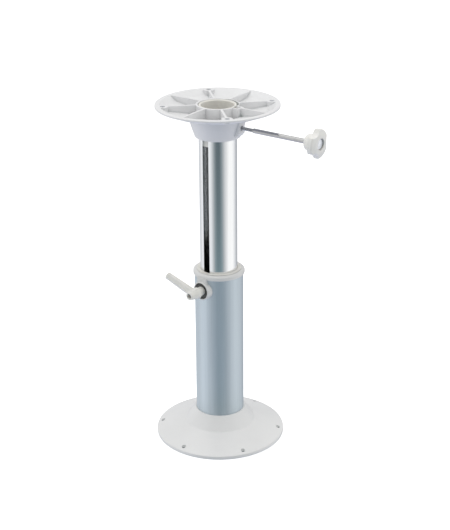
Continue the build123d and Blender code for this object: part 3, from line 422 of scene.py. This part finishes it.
def scalloped(distance, radius, angle):
    """The knob's radius, pulled in to three scallops with an eased edge."""
    near = (angle - SCALLOP_START) % LOBE
    near = min(near, LOBE - near)
    reach = SCALLOP_R**2 - (SCALLOP_CENTRE * sin(near)) ** 2
    if reach <= 0:
        return radius
    wall = SCALLOP_CENTRE * cos(near) - sqrt(reach)
    eased = max(SCALLOP_EDGE - abs(radius - wall), 0) / SCALLOP_EDGE
    return min(radius, wall) - eased**2 * SCALLOP_EDGE / 4


def make_knob():
    """The three-lobed knob, with soft moulded edges."""
    points = [(distance * MM, radius * MM) for distance, radius, _ in KNOB_OUTLINE]
    radii = [rounding * MM for _, _, rounding in KNOB_OUTLINE]
    rows = rounded_outline(points, radii, KNOB_STEP)
    knob = turned_mesh("knob_moulded", rows, KNOB_SEGMENTS, scalloped, LOCK_ORIGIN, LOCK_OUT)
    finish_piece(knob, "lock_knob")


ROD_SEGMENTS = 40
ROD_CLOSING_R = 0.01 * MM
ROD_SHARP_ANGLE = radians(35)
ROD_TIP = 37.8 * MM
ROD_TIP_R = 2.1 * MM
ROD_END = 193.0 * MM
ROD_R = 3.98 * MM
ROD_CHAMFER = 0.4 * MM
THREAD_START = 38.6 * MM
THREAD_END = 72.8 * MM
THREAD_SHOULDER = 73.5 * MM
THREAD_R = 2.98 * MM
THREAD_ROOT_R = 2.62 * MM
THREAD_PITCH = 1.0 * MM
THREAD_STEPS = 10
THREAD_FADE = 0.8 * MM
THREAD_RUNOUT = 0.1 * MM
FLANK_GAIN = 1.25
ROOT_FLAT = 0.12


def threaded(distance, radius, angle):
    """The rod's radius, cut by a helical thread that fades out at both ends."""
    inside = min(distance - THREAD_START, THREAD_END - distance) / THREAD_FADE
    if inside <= 0:
        return radius
    turn = (distance / THREAD_PITCH - angle / (2 * pi)) % 1
    flank = 1 - abs(2 * turn - 1)
    crest = min(1, max(0, flank * FLANK_GAIN - ROOT_FLAT))
    return min(radius, THREAD_R - (THREAD_R - THREAD_ROOT_R) * (1 - crest) * min(1, inside))


def make_rod():
    """The lock rod: a helical thread, a shoulder and a polished shank."""
    rows = [(ROD_TIP, ROD_CLOSING_R), (ROD_TIP, ROD_TIP_R), (THREAD_START, THREAD_R)]
    for index in range(int((THREAD_END - THREAD_START) / THREAD_PITCH * THREAD_STEPS)):
        rows.append((THREAD_START + (index + 1) * THREAD_PITCH / THREAD_STEPS, THREAD_R))
    rows += [(THREAD_END + THREAD_RUNOUT, THREAD_ROOT_R), (THREAD_SHOULDER, THREAD_ROOT_R)]
    rows += [(THREAD_SHOULDER, ROD_R - ROD_CHAMFER), (THREAD_SHOULDER + ROD_CHAMFER, ROD_R)]
    rows += [(ROD_END - ROD_CHAMFER, ROD_R), (ROD_END, ROD_R - ROD_CHAMFER)]
    rows.append((ROD_END, ROD_CLOSING_R))
    rod = turned_mesh("rod_threaded", rows, ROD_SEGMENTS, threaded, LOCK_ORIGIN, LOCK_OUT)
    finish_piece(rod, "lock_rod")
    sharpen(rod, ROD_SHARP_ANGLE)


def sharpen(piece, angle):
    """Keeps the edges that turn more than angle sharp on a smooth-shaded piece."""
    edges = bmesh.new()
    edges.from_mesh(piece.data)
    for edge in edges.edges:
        if edge.is_manifold and edge.calc_face_angle() > angle:
            edge.smooth = False
    edges.to_mesh(piece.data)
    edges.free()


LEVER_VOXEL = 0.45 * MM
LEVER_PASSES = 6


def make_moulded(node, voxel, passes):
    """A copy of a CAD node as a mould leaves it: remeshed finely, then smoothed, so that its edges
    and inner corners are round."""
    piece = bpy.data.objects.new(node + "_moulded", frame["nodes"][node].data.copy())
    bpy.context.scene.collection.objects.link(piece)
    remesh = piece.modifiers.new("remesh", "REMESH")
    remesh.mode = "VOXEL"
    remesh.voxel_size = voxel
    smooth = piece.modifiers.new("smooth", "SMOOTH")
    smooth.factor = 0.5
    smooth.iterations = passes
    depsgraph = bpy.context.evaluated_depsgraph_get()
    finished = bpy.data.meshes.new_from_object(piece.evaluated_get(depsgraph))
    piece.modifiers.clear()
    piece.data = finished
    finish_piece(piece, node)


# ---------------------------------------------------------------- stage and light

FLOOR_HALF = 8.0
FLOOR_GLOW = 0.42

# What the pedestal sees of the room at eye level and below: degrees to the right of the camera's
# side, and a linear colour.  A dark gap is left in front, with white boards on both sides.
ROOM = (
    (-180, (0.64, 0.65, 0.68)),
    (-160, (0.66, 0.67, 0.70)),
    (-130, (0.80, 0.81, 0.84)),
    (-108, (1.06, 1.07, 1.09)),
    (-62, (1.06, 1.07, 1.09)),
    (-44, (0.84, 0.86, 0.88)),
    (-22, (0.27, 0.31, 0.33)),
    (-8, (0.105, 0.135, 0.150)),
    (8, (0.105, 0.135, 0.150)),
    (22, (0.27, 0.31, 0.33)),
    (46, (0.78, 0.79, 0.80)),
    (64, (1.10, 1.10, 1.09)),
    (96, (1.10, 1.10, 1.09)),
    (114, (0.84, 0.85, 0.87)),
    (138, (0.46, 0.48, 0.51)),
    (160, (0.50, 0.52, 0.55)),
    (180, (0.64, 0.65, 0.68)),
)
# What the dark gap brightens to further down, what is overhead, and what is far below
LOW_GLOW = (0.27, 0.40, 0.44, 1)
CEILING = (0.88, 0.88, 0.87, 1)
UNDERNEATH = (0.94, 0.97, 1.26, 1)


def make_floor():
    """A wide pale floor under the base.  The room gives the light that would come up from it."""
    mesh = bpy.data.meshes.new("floor")
    corners = [(-FLOOR_HALF, -FLOOR_HALF, 0), (FLOOR_HALF, -FLOOR_HALF, 0)]
    corners += [(FLOOR_HALF, FLOOR_HALF, 0), (-FLOOR_HALF, FLOOR_HALF, 0)]
    mesh.from_pydata(corners, [], [(0, 1, 2, 3)])
    floor = bpy.data.objects.new("floor", mesh)
    bpy.context.scene.collection.objects.link(floor)
    floor.visible_diffuse = False
    floor.visible_glossy = False
    mesh.materials.append(floor_paper("floor_paper"))


def make_world():
    """A soft room, bright above, whose boards and dark gap show in the tubes.  The camera itself
    sees plain white."""
    world = bpy.data.worlds.new("studio")
    bpy.context.scene.world = world
    world.use_nodes = True
    tree = world.node_tree
    tree.nodes.clear()
    direction = add(tree, "ShaderNodeTexCoord").outputs["Generated"]
    split = add(tree, "ShaderNodeSeparateXYZ", {0: direction})
    inputs = {0: split.outputs["Y"], 1: -1.0}
    forward = add(tree, "ShaderNodeMath", inputs, operation="MULTIPLY").outputs[0]
    inputs = {0: split.outputs["X"], 1: forward}
    side = add(tree, "ShaderNodeMath", inputs, operation="ARCTAN2").outputs[0]
    inputs = {0: side, 1: -pi, 2: pi, 3: 0.0, 4: 1.0}
    turn = add(tree, "ShaderNodeMapRange", inputs).outputs[0]
    around = add(tree, "ShaderNodeValToRGB", {0: turn})
    stops = around.color_ramp.elements
    for degrees_right, colour in ROOM[1:-1]:
        stops.new((degrees_right + 180) / 360).color = (*colour, 1)
    stops[0].color = (*ROOM[0][1], 1)
    stops[-1].color = (*ROOM[-1][1], 1)
    dim = ramp(tree, split.outputs["Z"], -0.30, -0.50)
    inputs = {0: dim, 6: around.outputs[0], 7: LOW_GLOW}
    lit = add(tree, "ShaderNodeMix", inputs, data_type="RGBA", blend_type="LIGHTEN").outputs[2]
    high = ramp(tree, split.outputs["Z"], 0.05, 0.60)
    low = ramp(tree, split.outputs["Z"], -0.55, -0.95)
    upper = blend(tree, high, lit, CEILING)
    soft = blend(tree, low, upper, UNDERNEATH)
    room = add(tree, "ShaderNodeBackground", {"Color": soft, "Strength": 1.0}).outputs[0]
    white = add(tree, "ShaderNodeBackground", {"Color": (1, 1, 1, 1), "Strength": 1.0}).outputs[0]
    seen = add(tree, "ShaderNodeLightPath").outputs["Is Camera Ray"]
    mixed = add(tree, "ShaderNodeMixShader", {0: seen, 1: room, 2: white}).outputs[0]
    add(tree, "ShaderNodeOutputWorld", {"Surface": mixed})


def add_softbox(name, place, size, power):
    """A square soft light at place, which faces the pedestal's middle."""
    light = bpy.data.objects.new(name, bpy.data.lights.new(name, "AREA"))
    bpy.context.scene.collection.objects.link(light)
    light.data.size = size
    light.data.energy = power
    light.location = place
    light.rotation_euler = (AIM - Vector(place)).to_track_quat("-Z", "Y").to_euler()


def set_colour_management():
    """Plain sRGB output, so that white paper stays white."""
    bpy.context.scene.view_settings.view_transform = "Standard"


paint_cad_nodes()
make_knob()
make_rod()
make_moulded("clamp_lever", LEVER_VOXEL, LEVER_PASSES)
make_floor()
make_world()
add_softbox("softbox_top", (-0.3, 0.2, 2.4), 1.8, 9)
add_softbox("softbox_left", (-1.7, -0.6, 1.5), 1.2, 2)
add_softbox("softbox_right", (1.7, -0.4, 1.4), 1.2, 2)
make_camera()
set_colour_management()
